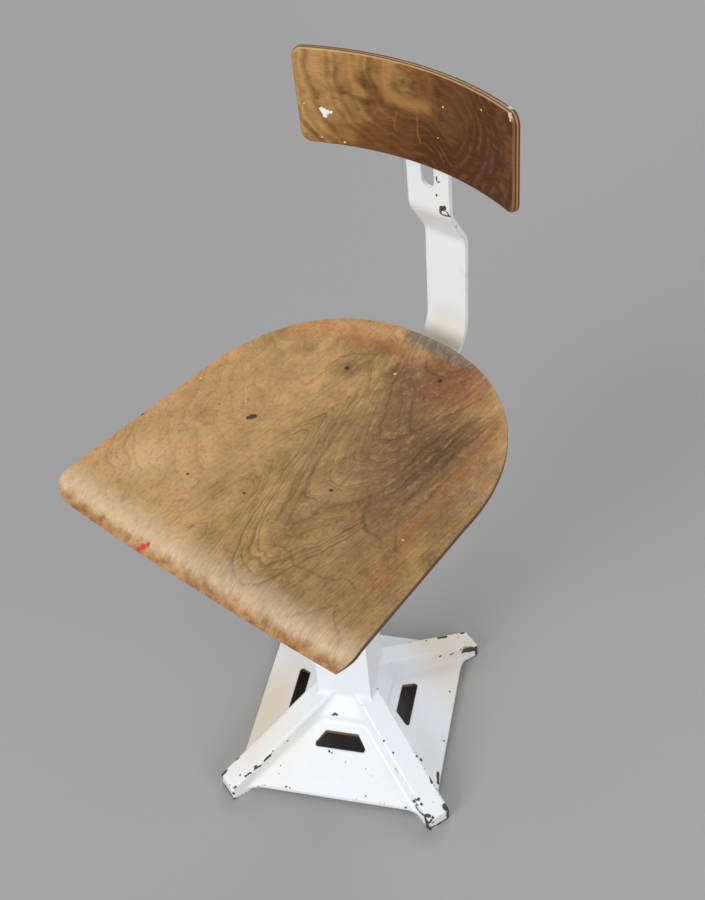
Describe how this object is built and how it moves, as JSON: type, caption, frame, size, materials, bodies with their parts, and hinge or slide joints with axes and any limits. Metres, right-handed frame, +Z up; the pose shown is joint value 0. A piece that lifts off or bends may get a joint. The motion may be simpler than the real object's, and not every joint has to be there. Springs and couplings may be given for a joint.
{
  "type": "machinist chair",
  "caption": "Swivel work chair: dished plywood seat and curved plywood backrest on a slotted flat-bar upright, sliding pillar and white cast-iron pyramid base on toes.",
  "frame": {"origin": "on the floor, on the swivel axis, midway between the four toes", "axes": "+Z up along the swivel axis, the sitter faces -Y, +X to the sitter's left"},
  "size_m": [0.369, 0.4042, 0.7915],
  "materials": {
    "white_paint": "brushed gloss paint, chipped",
    "seat_wood": "worn lacquer",
    "back_wood": "gloss lacquer",
    "bronze": "machined",
    "steel": "oiled"
  },
  "bodies": {
    "base": {"base_casting": "white_paint", "upper_guide_bush": "bronze", "lower_guide_bush": "bronze"},
    "height_clamp": {"clamp_screw": "steel", "clamp_tommy_bar": "steel", "clamp_bar_ends": "steel", "clamp_pad": "bronze"},
    "pillar": {"pillar": "steel", "stop_ring": "steel", "stop_pin": "steel", "thrust_washer": "bronze", "spigot_washer": "steel", "spigot_nut": "steel", "split_pin": "steel"},
    "seat": {"seat_spider": "white_paint", "hub_bush": "bronze", "seat_panel": "seat_wood", "seat_screws": "steel", "bar_keeper": "white_paint", "keeper_screws": "steel"},
    "depth_screw": {"depth_wing_screw": "steel"},
    "upright": {"back_upright": "white_paint"},
    "backrest": {"backrest_panel": "back_wood", "back_bracket": "white_paint", "back_bracket_screws": "steel", "back_stud": "steel", "back_washer": "steel"},
    "back_nut": {"back_wing_nut": "steel"}
  },
  "joints": [
    {"name": "height_clamp_turn", "type": "hinge", "parent": "base", "child": "height_clamp", "pos_m": [0, 0, 0.306], "axis": [-0.4509, 0.8926, 0], "range_deg": [-540, 0]},
    {"name": "seat_height", "type": "slide", "parent": "base", "child": "pillar", "axis": [0, 0, 1], "range_m": [-0.06, 0.08]},
    {"name": "seat_swivel", "type": "hinge", "parent": "pillar", "child": "seat", "pos_m": [0, 0, 0.408], "axis": [0, 0, 1], "continuous": true},
    {"name": "back_depth", "type": "slide", "parent": "seat", "child": "upright", "axis": [0, 1, 0], "range_m": [-0.02, 0.025]},
    {"name": "depth_screw_turn", "type": "hinge", "parent": "seat", "child": "depth_screw", "pos_m": [0, 0.136, 0.44], "axis": [0, 0, 1], "range_deg": [-540, 0]},
    {"name": "back_height", "type": "slide", "parent": "upright", "child": "backrest", "axis": [0, -0.0349, 0.9994], "range_m": [-0.06, 0.02]},
    {"name": "back_nut_turn", "type": "hinge", "parent": "backrest", "child": "back_nut", "pos_m": [0, 0.17638, 0.7352], "axis": [0, 0.9994, 0.0349], "range_deg": [-540, 0]}
  ]
}
